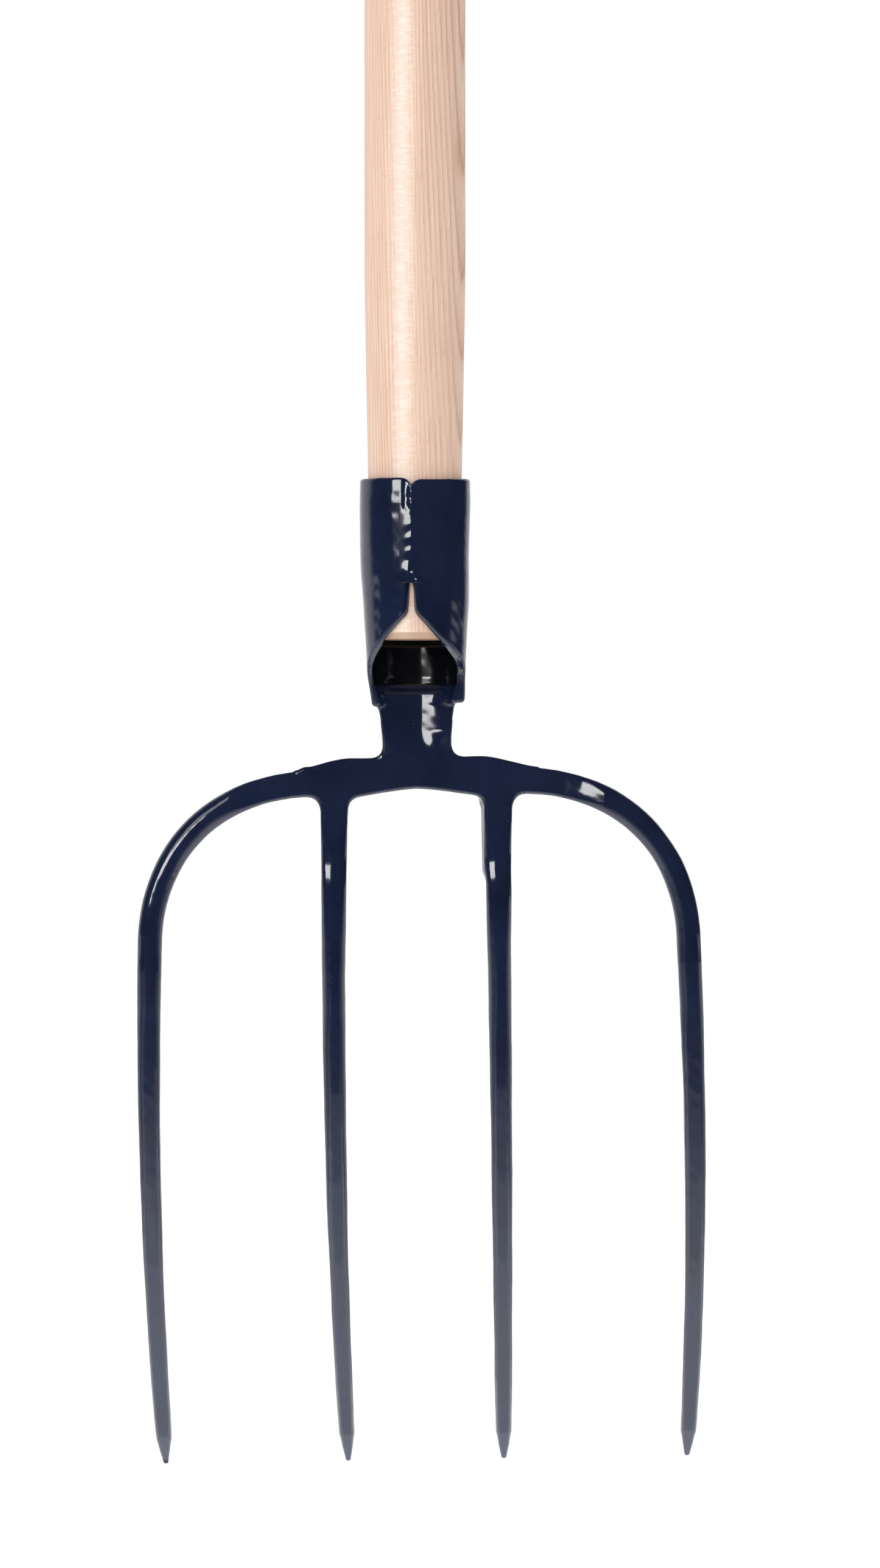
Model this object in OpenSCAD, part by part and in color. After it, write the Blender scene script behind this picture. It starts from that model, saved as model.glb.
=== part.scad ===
// Manure fork: a forged head of four tines, with a rolled open socket, on a straight wooden handle.
// The handle stands along Z with the tines down. The open side of the socket is the back of the
// tool and faces -Y. The tines bend away from it, towards +Y, so the load lies on the +Y side.
// The origin is on the handle's axis, at the lower end of the straight grip.

/* [Handle] */
// Diameter of the straight grip
handle_d = 38; // [34:0.5:44]
// Length of the whole handle
handle_len = 1350; // [700:10:1600]
// Length of the taper between the straight grip and the socket's rim
taper_len = 75; // [50:1:110]
// Taper of the wood: loss of diameter in each metre of length
wood_taper = 36; // [20:1:50]
// Length of the handle inside the socket
insert_len = 60.4; // [45:0.2:68]
// Chamfer on the inserted end
end_chamfer = 2.3; // [0.5:0.1:5]
// Rounding of the free end
butt_round = 9; // [2:0.5:14]

/* [Socket] */
// Length of the rolled socket, from its rim to the neck
socket_len = 84; // [79:0.5:95]
// Wall at the rim
rim_wall = 3.4; // [2.6:0.1:5]
// Wall at the open lips
lip_wall = 2.3; // [1.5:0.1:3.5]
// Depth below the rim at which the wall starts to thin
thin_start = 33; // [5:1:38]
// Length over which the wall thins
thin_len = 42; // [25:1:45]
// Angle, in degrees, by which the seam lies to the left of the middle
seam_turn = 5; // [0:0.5:10]
// Gap between the plate's edges, filled by the weld
seam_gap = 0.8; // [0.4:0.1:1.6]
// Depth below the rim at which the weld ends and the open slit begins
slit_start = 39; // [25:0.5:44]
// Depth below the rim at which the slit spreads into the mouth
slit_end = 51; // [46:0.5:56]
// Width of the slit at its lower end
slit_w = 2.9; // [1.8:0.1:5]
// Depth below the rim at which the mouth is as wide as the socket
mouth_depth = 75; // [62:0.5:77]
// Angle from the open side to each lip, where the socket meets the neck
lip_turn = 108; // [95:1:125]
// Width of the weld bead
bead_w = 2.4; // [1.8:0.1:4]
// Height of the weld bead above the socket
bead_h = 0.9; // [0.4:0.1:1.6]
// Distance between the ripples of the weld bead
ripple_pitch = 4.2; // [2.5:0.1:8]

/* [Screw] */
// Diameter of the screw's shank
screw_d = 4.5; // [3:0.1:6]
// Diameter of the countersunk head
screw_head_d = 8.6; // [7:0.1:10]
// Length of the screw
screw_len = 25; // [15:0.5:30]
// Depth of the screw's axis below the rim
screw_depth = 22; // [14:0.5:30]

/* [Neck and yoke] */
// Length of the neck, from the socket to the yoke
neck_len = 16; // [12:0.5:30]
// Width of the neck where it meets the yoke
neck_w = 25.6; // [20:0.2:29]
// Thickness of the yoke
yoke_t = 9.5; // [7:0.1:12]
// Rounding of the yoke's edges
yoke_edge = 1.8; // [0.6:0.1:2.4]
// Height of the yoke's top edge above its centre line
yoke_top = 8.5; // [6:0.1:12]
// Depth of the yoke's lower edge below its centre line, between the inner tines
yoke_sag = 3.4; // [2:0.1:5.5]
// Width of the arm where it passes into the outer tine
arm_w = 10; // [9:0.1:12]
// Length of the flat roots of the inner tines, below the centre line
root_len = 34; // [24:0.5:48]
// Width of the flat roots where they pass into the inner tines
root_w = 9.6; // [8:0.1:12]
// Sideways lean of the forged head against the handle, in degrees
head_lean = 0.9; // [-2:0.1:2]

/* [Tines] */
// Distance between the inner tines' centre lines at their roots
inner_pitch = 61.8; // [56:0.2:70]
// Distance between the outer tines' centre lines below their arches
outer_pitch = 204; // [184:0.2:230]
// Height of the outer tines' arches
arch_h = 60; // [50:0.5:75]
// Depth of the tine points below the yoke's centre line
tine_drop = 264; // [200:1:320]
// Width of the tines below their roots
tine_w = 9.2; // [7:0.1:11]
// Width of the tines above their points
tip_w = 6.15; // [4:0.05:7]
// Depth of the tines' section, as a share of its width
tine_oval = 1.02; // [0.8:0.01:1.2]
// Length of the points
point_len = 10.5; // [6:0.5:18]
// Width of the blunt end of the points
point_w = 1.7; // [0.8:0.1:3]
// Radius of the forward bend of the tines
dish_r = 500; // [340:5:900]
// Distance by which the outer tines draw in towards their points
outer_toe = 0.9; // [0:0.1:8]
// Distance by which the inner tines draw in towards their points
inner_toe = 0.6; // [0:0.1:5]
// Outward bow of the outer tines at their middle
outer_bow = 2.2; // [0:0.1:5]
// Outward bow of the inner left tine at its middle
inner_left_bow = 2.3; // [-2:0.1:4]
// Outward bow of the inner right tine at its middle
inner_right_bow = -0.5; // [-2:0.1:4]

/* [Hidden] */
$fn = 96;

enamel = [0.09, 0.14, 0.27];
ash_wood = [0.94, 0.81, 0.70];
bright_steel = [0.74, 0.75, 0.76];

// Clearance that keeps a cut past the faces that it opens
past = 2;
rim_z = -taper_len;
wood_slope = wood_taper / 2000;
butt_z = rim_z - insert_len + handle_len;
socket_z = rim_z - socket_len;

// Points along each rounded corner, each lip of the mouth and each ring of a tine
corner_steps = 5;
mouth_steps = 12;
ring_points = 20;

function smooth(q) = let (c = max(0, min(1, q))) c * c * (3 - 2 * c);
function mix(a, b, q) = a + (b - a) * q;

// Radius of the wood, and so of the socket's bore, at a depth below the rim
function wood_r(depth) = handle_d / 2 - wood_slope * (taper_len + depth);
// Wall and outer radius of the socket at a depth below the rim
function wall(depth) = mix(rim_wall, lip_wall, smooth((depth - thin_start) / thin_len));
function outer_r(depth) = wood_r(depth) + wall(depth);

// Half angle of the opening between the socket's lips at a depth below the rim
function gap_angle(width, depth) = asin(width / 2 / outer_r(depth));
function lip_angle(depth) =
    depth <= slit_start ? gap_angle(seam_gap, depth)
    : depth <= slit_end
        ? gap_angle(mix(seam_gap, slit_w, (depth - slit_start) / (slit_end - slit_start)), depth)
    : depth <= mouth_depth
        ? mix(gap_angle(slit_w, slit_end), 90, (depth - slit_end) / (mouth_depth - slit_end))
    : mix(90, lip_turn, (depth - mouth_depth) / (socket_len - mouth_depth));
// Angle of the opening's middle: the seam lies to one side, the wide mouth does not
function lip_middle(depth) = -seam_turn * (1 - smooth((depth - slit_end) / (mouth_depth - slit_end)));

// Corners [x, y, radius] of a path turned into points, with an arc at each corner that has a radius
function unit(v) = v / norm(v);
function corner_arc(before, corner, after) =
    let (
        c = [corner[0], corner[1]],
        d1 = unit([before[0], before[1]] - c),
        d2 = unit([after[0], after[1]] - c),
        half = acos(max(-1, min(1, d1 * d2))) / 2,
        centre = c + unit(d1 + d2) * corner[2] / sin(half),
        start = c + d1 * corner[2] / tan(half),
        finish = c + d2 * corner[2] / tan(half)
    )
    [for (k = [0:corner_steps])
        let (chord = mix(start, finish, k / corner_steps))
        centre + unit(chord - centre) * corner[2]];
function rounded_path(corners) =
    [for (k = [0:len(corners) - 1])
        each corners[k][2] == 0 ? [[corners[k][0], corners[k][1]]]
            : corner_arc(corners[k - 1], corners[k], corners[k + 1])];

function bezier(p, t) =
    let (s = 1 - t)
    s * s * s * p[0] + 3 * s * s * t * p[1] + 3 * s * t * t * p[2] + t * t * t * p[3];
function bezier_way(p, t) =
    let (s = 1 - t)
    unit(s * s * (p[1] - p[0]) + 2 * s * t * (p[2] - p[1]) + t * t * (p[3] - p[2]));
function left_of(way) = [-way[1], way[0]];

// Triangles of a flat outline that runs clockwise, cut off it one corner after another
least_corner = 0.0001;
function turn_right(a, b, c) = (b[1] - a[1]) * (c[0] - a[0]) - (b[0] - a[0]) * (c[1] - a[1]);
function holds(a, b, c, p) = turn_right(a, b, p) > 0 && turn_right(b, c, p) > 0 && turn_right(c, a, p) > 0;
function corner_at(left, k) =
    let (n = len(left))
    [left[(k + n - 1) % n], left[k], left[(k + 1) % n]];
function is_free(p, left, corner) =
    let (a = p[corner[0]], b = p[corner[1]], c = p[corner[2]])
    turn_right(a, b, c) > least_corner && len([for (q = left) if (holds(a, b, c, p[q])) q]) == 0;
function free_corner(p, left, k) =
    k == len(left) - 1 || is_free(p, left, corner_at(left, k)) ? k : free_corner(p, left, k + 1);
function triangles(p, left) =
    len(left) == 3 ? [left]
    : let (k = free_corner(p, left, 0))
        concat(
            [corner_at(left, k)],
            triangles(p, [for (j = [0:len(left) - 1]) if (j != k) left[j]])
        );

// Closed solid through rings of equally many points. The cap lists the faces of an end ring.
module loft(rings, cap) {
    count = len(rings[0]);
    last = len(rings) - 1;
    ends = is_undef(cap) ? [[for (k = [0:count - 1]) k]] : cap;
    sides = [for (r = [0:last - 1]) for (k = [0:count - 1])
        let (a = r * count + k, b = r * count + (k + 1) % count)
        each [[a, b, b + count], [a, b + count, a + count]]];
    first_cap = [for (face = ends) [for (k = [len(face) - 1:-1:0]) face[k]]];
    last_cap = [for (face = ends) [for (k = face) last * count + k]];
    polyhedron(points = [for (ring = rings) each ring], faces = concat(sides, first_cap, last_cap));
}

// Handle: a turned shaft with a tapered, chamfered end and a rounded butt
module handle() {
    end_r = wood_r(insert_len);
    butt = rounded_path([
        [handle_d / 2, 0, 0], [handle_d / 2, butt_z, butt_round], [0, butt_z, 0]
    ]);
    profile = concat(
        [[0, rim_z - insert_len], [end_r - end_chamfer, rim_z - insert_len]],
        [[wood_r(insert_len - end_chamfer), rim_z - insert_len + end_chamfer]],
        butt
    );
    color(ash_wood) difference() {
        rotate_extrude() polygon(profile);
        screw_body();
    }
}

// Socket: plate rolled round the handle, open down its back in a slit and a wide mouth.
// Its round starts at an angle that lies clear of the lips and of the screw.
round_start = 45;

module socket_wall() {
    outer = [for (k = [0:mouth_steps])
        let (d = socket_len * k / mouth_steps)
        [outer_r(d), rim_z - d]];
    inner = [for (d = [socket_len, 0]) [wood_r(d), rim_z - d]];
    rotate([0, 0, round_start]) rotate_extrude() polygon(concat(outer, inner));
}

// One slice of the opening: a sector from the axis past the wall, between the lips
function opening_ring(depth) =
    let (reach = outer_r(0) + past, turn = lip_angle(depth), middle = lip_middle(depth))
    concat(
        [[0, 0, rim_z - depth]],
        [for (k = [0:mouth_steps])
            let (a = middle + mix(-turn, turn, k / mouth_steps))
            [reach * sin(a), -reach * cos(a), rim_z - depth]]
    );

module opening() {
    levels = concat(
        [-past, slit_start, slit_end],
        [for (k = [1:mouth_steps]) mix(slit_end, mouth_depth, k / mouth_steps)],
        [socket_len + past]
    );
    loft([for (d = levels) opening_ring(d)]);
}

module socket() {
    color(enamel) difference() {
        socket_wall();
        opening();
        screw_hole();
    }
}

// Weld: fills the seam between the plate's edges and stands proud of it in ripples
bead_steps = 8;
ripple_steps = 4;
ripple_depth = 0.14;
bead_end = 0.15;
// Share of the seam's width that the weld takes, and the least that its bead laps over each edge
seam_fill = 0.98;
least_lap = 0.15;

// Section of the weld: a web in the seam under a rounded bead, as points [across, radius]
function weld_section(depth) =
    let (
        r_in = wood_r(depth),
        r_out = outer_r(depth),
        ripple = 1 - ripple_depth * (1 - cos(360 * depth / ripple_pitch)),
        share = ripple * sqrt(max(bead_end, sin(180 * depth / slit_start))),
        web = seam_gap / 2 * seam_fill,
        lap = max(bead_w / 2 * share, web + least_lap)
    )
    concat(
        [[-web * r_in / r_out, r_in], [-web, r_out]],
        [for (k = [0:bead_steps])
            let (a = 180 * k / bead_steps)
            [-lap * cos(a), r_out + bead_h * share * sin(a)]],
        [[web, r_out], [web * r_in / r_out, r_in]]
    );

module seam_weld() {
    steps = round(slit_start / ripple_pitch) * ripple_steps;
    rings = [for (s = [0:steps])
        let (depth = slit_start * s / steps)
        [for (p = weld_section(depth)) [p[0], -p[1], rim_z - depth]]];
    last = len(rings[0]) - 1;
    crown = round(last / 2);
    bead_face = concat([for (k = [crown:last - 1]) k], [for (k = [1:crown - 1]) k]);
    cap = [[0, 1, last - 1, last], bead_face];
    color(enamel) rotate([0, 0, -seam_turn]) loft(rings, cap);
}

// Screw: countersunk through the front of the socket into the wood
recess_w = screw_head_d / 7;
recess_depth = screw_head_d / 8;
recess_len = screw_head_d * 0.55;
// The head's rim lies level with the socket's round surface
screw_y = sqrt(pow(outer_r(screw_depth), 2) - pow(screw_head_d / 2, 2));

module at_screw() {
    translate([0, screw_y, rim_z - screw_depth]) rotate([90, 0, 0]) children();
}

module screw_body() {
    head_h = (screw_head_d - screw_d) / 2;
    tip_h = screw_d;
    at_screw() rotate_extrude() polygon([
        [0, 0], [screw_head_d / 2, 0], [screw_d / 2, head_h],
        [screw_d / 2, screw_len - tip_h], [0, screw_len]
    ]);
}

// The hole that the screw fills, open outwards above its head
module screw_hole() {
    screw_body();
    at_screw() translate([0, 0, -past]) cylinder(d = screw_head_d, h = past);
}

module handle_screw() {
    color(bright_steel) difference() {
        screw_body();
        at_screw() {
            cube([recess_len, recess_w, 2 * recess_depth], center = true);
            cube([recess_w, recess_len, 2 * recess_depth], center = true);
        }
    }
}

// Neck: the socket's trough flattens and thickens into the yoke
neck_fillet = 4.4;
neck_rings = 10;
neck_side = 8;
// How early the neck draws in to its own width, and how early its trough goes flat
neck_draw = 1.9;
neck_flat = 1.5;
yoke_neck_h = yoke_top + neck_fillet;
yoke_drop = neck_len + yoke_neck_h;
plate_y = outer_r(socket_len) - yoke_t / 2;

// A point of the head, given in the yoke's own plane, leaned about the socket's lower end
function leaned(x, y, z, lean) =
    let (down = z - yoke_drop)
    [x * cos(lean) - down * sin(lean), y, socket_z + x * sin(lean) + down * cos(lean)];

function neck_ring(q) =
    let (
        far_y = outer_r(socket_len),
        thick = mix(lip_wall, yoke_t, q),
        trough_r = far_y - lip_wall / 2,
        bend = pow(1 - q, neck_flat) / trough_r,
        half_w = mix(trough_r * sin(lip_turn), neck_w / 2, smooth(neck_draw * q)),
        turn = bend > 0 ? asin(half_w * bend) : 0,
        z = yoke_drop - neck_len * q,
        lean = head_lean * q,
        middle = [for (k = [-neck_side:neck_side])
            let (a = turn * k / neck_side)
            bend > 0
                ? [sin(a) / bend, far_y - thick / 2 - (1 - cos(a)) / bend, a]
                : [half_w * k / neck_side, far_y - thick / 2, 0]],
        far = [for (p = middle)
            leaned(p[0] + sin(p[2]) * thick / 2, p[1] + cos(p[2]) * thick / 2, z, lean)],
        near = [for (p = middle)
            leaned(p[0] - sin(p[2]) * thick / 2, p[1] - cos(p[2]) * thick / 2, z, lean)]
    )
    concat(far, [for (k = [len(near) - 1:-1:0]) near[k]]);

module neck() {
    last = 4 * neck_side + 1;
    cap = [for (k = [0:2 * neck_side - 1]) [k, k + 1, last - k - 1, last - k]];
    color(enamel) loft([for (k = [neck_rings:-1:0]) neck_ring(k / neck_rings)], cap);
}

// Centre lines of the right-hand tines in the yoke's plane, as curves of four points
arm_out = 12.6;
arm_dip = 1;
arm_slope = 5;
arch_lead = 0.74;
arch_tail = 0.41;

// A tine's own run: from its root to its point, with an outward bow at its middle
function bowed(root, point, bow) =
    let (handle = [bow * 4 / 3, 0])
    [root, mix(root, point, 1 / 3) + handle, mix(root, point, 2 / 3) + handle, point];

arch_end = [outer_pitch / 2, -arch_h];
outer_curve = bowed(arch_end, [outer_pitch / 2 - outer_toe, -tine_drop], outer_bow);
arm_start = [inner_pitch / 2 + arm_out, -arm_dip];
arch_curve = [
    arm_start,
    arm_start + (arch_end[0] - arm_start[0]) * arch_lead * [cos(arm_slope), -sin(arm_slope)],
    arch_end - arch_h * arch_tail * bezier_way(outer_curve, 0),
    arch_end
];
function inner_curve(bow) =
    bowed([inner_pitch / 2, -root_len], [inner_pitch / 2 - inner_toe, -tine_drop], bow);

// Share of the arch that belongs to the yoke's arm
arm_share = 0.1;
arm_end = bezier(arch_curve, arm_share);
arm_side = left_of(bezier_way(arch_curve, arm_share)) * arm_w / 2;

// Yoke: a flat forging whose outline runs from the neck to the arms and the inner tines' roots.
// Its top edge swells over the inner tines and falls away along the arms.
root_x = inner_pitch / 2;
root_flare = 1.5;
crotch_z = -5.5;
inner_crotch_z = -7.1;
crotch_round = 6.5;
inner_crotch_round = 5.5;
sag_round = 70;
swell_in = 4.5;
swell_out = 5.5;
swell_fall = 1.6;
swell_round = 24;
arm_top_out = 14.5;
arm_top_fall = 4.4;
arm_top_round = 6;

// Right-hand stretches of the outline, between the faces that meet the neck and the tines
top_edge = rounded_path([
    [neck_w / 2, yoke_neck_h, 0], [neck_w / 2, yoke_top, neck_fillet * 0.9],
    [root_x - swell_in, yoke_top, swell_round],
    [root_x + swell_out, yoke_top - swell_fall, arm_top_round],
    [root_x + arm_top_out, yoke_top - arm_top_fall, arm_top_round],
    [arm_end[0] + arm_side[0], arm_end[1] + arm_side[1], 0]
]);
under_edge = rounded_path([
    [arm_end[0] - arm_side[0], arm_end[1] - arm_side[1], 0],
    [root_x + root_w / 2, crotch_z, crotch_round], [root_x + root_w / 2, -root_len, 0]
]);
inner_edge = rounded_path([
    [root_x - root_w / 2, -root_len, 0],
    [root_x - root_w / 2 - root_flare, inner_crotch_z, inner_crotch_round],
    [0, -yoke_sag, sag_round],
    [-root_x + root_w / 2 + root_flare, inner_crotch_z, inner_crotch_round],
    [-root_x + root_w / 2, -root_len, 0]
]);
function mirrored(path) = [for (k = [len(path) - 1:-1:0]) [-path[k][0], path[k][1]]];

// A stretch moved into the plate by a distance, square to its own run
function drawn_in(path, distance) =
    [for (k = [0:len(path) - 1])
        let (way = unit(path[min(k + 1, len(path) - 1)] - path[max(k - 1, 0)]))
        path[k] - left_of(way) * distance];

function yoke_outline(inset) =
    [for (path = [top_edge, under_edge, inner_edge, mirrored(under_edge), mirrored(top_edge)])
        each drawn_in(path, inset)];
function yoke_ring(y, inset) =
    [for (p = yoke_outline(inset)) leaned(p[0], plate_y + y, p[1], head_lean)];

module yoke() {
    edge_steps = 3;
    half = [for (k = [0:edge_steps])
        let (a = 90 * k / edge_steps)
        [yoke_t / 2 - yoke_edge * (1 - cos(a)), yoke_edge * (1 - sin(a))]];
    face = yoke_outline(yoke_edge);
    color(enamel) loft(concat(
        [for (k = [0:edge_steps]) yoke_ring(half[k][0], half[k][1])],
        [for (k = [edge_steps:-1:0]) yoke_ring(-half[k][0], half[k][1])]
    ), triangles(face, [for (k = [0:len(face) - 1]) k]));
}

// Forward bend of a tine at a height in the yoke's plane: flat as far as the inner roots end
function dish_tilt(height) = asin(min(1, max(0, -height - root_len) / dish_r));
function dish(height) = dish_r * (1 - cos(dish_tilt(height)));

// Section of the tines: nearly square at the yoke, rounder below. The point narrows in stages.
square_section = 0.45;
round_section = 0.72;
tine_steps = 18;
arch_steps = 12;
root_blend = 4;
width_fall = 1.4;
point_stages = [0.3, 0.65, 0.9, 1];
point_fall = 1.15;

// One ring of a tine, square to its centre line and to its forward bend
function tine_ring(centre, way, width, depth, softness, side) =
    let (across = left_of(way), tilt = dish_tilt(centre[1]))
    [for (k = [0:ring_points - 1])
        let (
            a = side * 360 * k / ring_points,
            c = sign(cos(a)) * pow(abs(cos(a)), softness) * width / 2,
            s = sign(sin(a)) * pow(abs(sin(a)), softness) * depth / 2,
            p = centre + across * c - way * s * sin(tilt)
        )
        leaned(side * p[0], plate_y + dish(centre[1]) + s * cos(tilt), p[1], head_lean)];

// Width of a tine at a height in the yoke's plane
function tine_width(height) =
    let (q = max(0, (-height - root_len) / (tine_drop - point_len - root_len)))
    mix(tine_w, tip_w, pow(q, width_fall));

// Rings of a tine's own run, blending out of a root of another width, and rings of its point
function tine_rings(curve, root_width, root_depth, root_section, to_share, side) =
    [for (k = [0:tine_steps])
        let (
            q = to_share * k / tine_steps,
            centre = bezier(curve, q),
            own_w = tine_width(centre[1]),
            blend = smooth(root_blend * k / tine_steps)
        )
        tine_ring(
            centre, bezier_way(curve, q), mix(root_width, own_w, blend),
            mix(root_depth, own_w * tine_oval, blend), mix(root_section, round_section, blend), side
        )];
function point_rings(curve, from_share, side) =
    [for (q = point_stages)
        let (
            share = mix(from_share, 1, q),
            width = mix(tip_w, point_w, pow(q, point_fall))
        )
        tine_ring(
            bezier(curve, share), bezier_way(curve, share), width, width * tine_oval,
            round_section, side
        )];

module inner_tine(side, bow) {
    curve = inner_curve(bow);
    point_share = 1 - point_len / (tine_drop - root_len);
    color(enamel) loft(concat(
        tine_rings(curve, root_w, yoke_t, square_section, point_share, side),
        point_rings(curve, point_share, side)
    ));
}

module outer_tine(side) {
    point_share = 1 - point_len / (tine_drop - arch_h);
    own_w = tine_width(-arch_h);
    arch = [for (k = [0:arch_steps - 1])
        let (
            run = k / arch_steps,
            q = mix(arm_share, 1, run),
            blend = smooth(2 * run)
        )
        tine_ring(
            bezier(arch_curve, q), bezier_way(arch_curve, q), mix(arm_w, own_w, run),
            mix(yoke_t, own_w * tine_oval, blend), mix(square_section, round_section, blend), side
        )];
    color(enamel) loft(concat(
        arch,
        tine_rings(outer_curve, own_w, own_w * tine_oval, round_section, point_share, side),
        point_rings(outer_curve, point_share, side)
    ));
}

module outer_left_tine() {
    outer_tine(-1);
}

module inner_left_tine() {
    inner_tine(-1, inner_left_bow);
}

module inner_right_tine() {
    inner_tine(1, inner_right_bow);
}

module outer_right_tine() {
    outer_tine(1);
}

handle();
socket();
seam_weld();
neck();
yoke();
outer_left_tine();
inner_left_tine();
inner_right_tine();
outer_right_tine();
handle_screw();
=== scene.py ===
"""Manure fork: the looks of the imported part.

The forged head is one form, given by its distance function in millimetres and meshed on a fine grid.
It is then cut where the CAD divides it, so that each piece stands for its own node. The handle is
turned round its axis. All places are in the frame of the CAD: handle along Z, open socket to -Y.
Shapes are in millimetres, and the looks and the stage are in metres.
"""

import math
from collections import Counter

import bmesh
import bpy
import numpy as np
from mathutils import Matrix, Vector


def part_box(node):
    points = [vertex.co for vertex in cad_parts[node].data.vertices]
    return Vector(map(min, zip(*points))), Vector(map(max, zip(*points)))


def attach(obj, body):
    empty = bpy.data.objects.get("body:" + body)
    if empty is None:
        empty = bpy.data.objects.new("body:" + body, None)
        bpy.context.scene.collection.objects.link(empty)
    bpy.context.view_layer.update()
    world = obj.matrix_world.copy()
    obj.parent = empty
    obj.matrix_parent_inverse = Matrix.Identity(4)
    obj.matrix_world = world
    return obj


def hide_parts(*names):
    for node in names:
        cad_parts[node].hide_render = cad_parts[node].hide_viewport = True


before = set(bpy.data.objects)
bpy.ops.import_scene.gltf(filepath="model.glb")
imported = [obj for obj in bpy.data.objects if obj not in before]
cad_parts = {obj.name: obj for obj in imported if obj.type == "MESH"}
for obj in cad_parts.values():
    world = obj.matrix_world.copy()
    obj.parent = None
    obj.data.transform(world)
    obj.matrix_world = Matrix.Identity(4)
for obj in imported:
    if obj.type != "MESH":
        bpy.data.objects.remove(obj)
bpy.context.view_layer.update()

MM = 0.001
X, Y, Z = 0, 1, 2
LOW, HIGH = 0, 1


def edge(node, side, axis):
    """Place of a node's lowest (0) or highest (1) edge along an axis, in millimetres."""
    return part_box(node)[side][axis] / MM


def middle(node, axis):
    return (edge(node, LOW, axis) + edge(node, HIGH, axis)) / 2


def half_size(node, axis):
    return (edge(node, HIGH, axis) - edge(node, LOW, axis)) / 2


# Places from the frame
rim_z = edge("socket", HIGH, Z)
socket_z = edge("socket", LOW, Z)
socket_len = rim_z - socket_z
handle_r = edge("handle", HIGH, X)
handle_low = edge("handle", LOW, Z)
butt_z = edge("handle", HIGH, Z)
plate_y = middle("yoke", Y)
plate_half = half_size("yoke", Y)
floor_z = edge("outer_left_tine", LOW, Z)
screw_y = edge("handle_screw", HIGH, Y)
screw_z = middle("handle_screw", Z)
screw_r = half_size("handle_screw", X)


# Shaping functions
def smooth(q):
    c = np.clip(q, 0, 1)
    return c * c * (3 - 2 * c)


def ease(value, start, length):
    """Smooth rise from zero to one over a length."""
    return smooth((value - start) / length)


def soft_ramp(q, straight):
    """Rise from zero to one, straighter with a larger second value."""
    return (smooth(q) + straight * np.clip(q, 0, 1)) / (1 + straight)


def mix(a, b, q):
    return a + (b - a) * q


def bump(q):
    return np.exp(-q * q)


def runs(value, table):
    """Sum of smooth rises, each with its height, its start and its length."""
    return sum(height * ease(value, start, length) for height, start, length in table)


def round_max(a, b, r):
    """Common part of two forms, its edge rounded to radius r."""
    corner = np.hypot(np.maximum(a + r, 0), np.maximum(b + r, 0))
    return np.minimum(-r, np.maximum(a, b)) + corner


def soft_min(a, b, k):
    """Union of two forms, the corner between them filled over a width k."""
    h = np.maximum(k - np.abs(a - b), 0) / k
    return np.minimum(a, b) - h * h * k / 4


# Slow unevenness of the hammered and painted surface: waves of fixed directions and phases
WAVES = 14
WAVE_SEED = 11
wave_steep = 0.0013
shortest_wave = 3.4
longest_wave = 36
wave_rng = np.random.default_rng(WAVE_SEED)
wave_lengths = np.geomspace(shortest_wave, longest_wave, WAVES)
wave_ways = wave_rng.normal(size=(WAVES, 3))
wave_ways /= np.linalg.norm(wave_ways, axis=1)[:, None]
wave_ways *= 2 * math.pi / wave_lengths[:, None]
wave_phases = wave_rng.uniform(0, 2 * math.pi, WAVES)


def uneven(p):
    total = np.zeros(len(p))
    for way, phase, long in zip(wave_ways, wave_phases, wave_lengths):
        total += wave_steep * long * np.sin(p @ way + phase)
    return total


# Socket: a rolled shell, open down its back in a slit and a wide mouth.
# Depths count down from its rim, and a run has its height, its start and its length.
wood_slope = 0.018
wood_gap = 0.05
rim_wall = 3.4
lip_wall = 2.3
thin_start = 33
thin_len = 42
straight_len = 10
rim_draw = 0.016
rim_draw_len = 9
low_draw = 0.004
low_draw_start = 12
low_draw_len = 30
drift_runs = [(0.45, 30, 18), (0.5, 72, 12)]
bore_runs = [(1.0, 60.5, 2.5), (2.0, 76, 9)]
bore_taper_end = 61


def wood_r(depth):
    return handle_r + wood_slope * (rim_z - depth)


def wall(depth):
    return mix(rim_wall, lip_wall, ease(depth, thin_start, thin_len))


def outer_r(depth):
    """Outer radius of the socket, straight below the rim and tapered further down."""
    at_rim = rim_draw * np.clip(rim_draw_len - depth, 0, rim_draw_len)
    drawn_in = at_rim + low_draw * np.clip(depth - low_draw_start, 0, low_draw_len)
    return wood_r(np.maximum(depth, straight_len)) + wall(depth) - drawn_in


def socket_drift(depth):
    """Sideways place of the socket's outside."""
    return runs(depth, drift_runs)


# Lips: at depths below the rim, the angle in degrees from the back of the socket to each lip
slit_top = 38.2
slit_end = 51
slit_round = 1.0
lip_left = [(38, 4.9), (slit_end, 7.4), (60.5, 38.2), (67.7, 66), (72.4, 86.5), (77, 96), (86, 107)]
lip_right = [(38, -3.6), (slit_end, -0.5), (60.5, 29.1), (67.7, 61), (72.2, 86), (77, 92), (85, 98)]
LIP_EASE = (-1.4, -0.7, 0, 0.7, 1.4)
lip_step = 0.25
lip_bevel = 0.4
bevel_reach = 4
slit_lip_r = 0.45
mouth_lip_r = 1.1
lip_change = 50
lip_change_len = 5
burr_h = 0.28
burr_in = 0.8
burr_w = 0.6
burr_depth = 45
burr_len = 8


def lip_angle(points, depth):
    """Angle to a lip, eased where its straight runs meet."""
    depths, angles = np.array(points, float).T
    parts = [np.interp(depth + shift, depths, angles) for shift in LIP_EASE]
    return np.radians(sum(parts) / len(parts))


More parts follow.
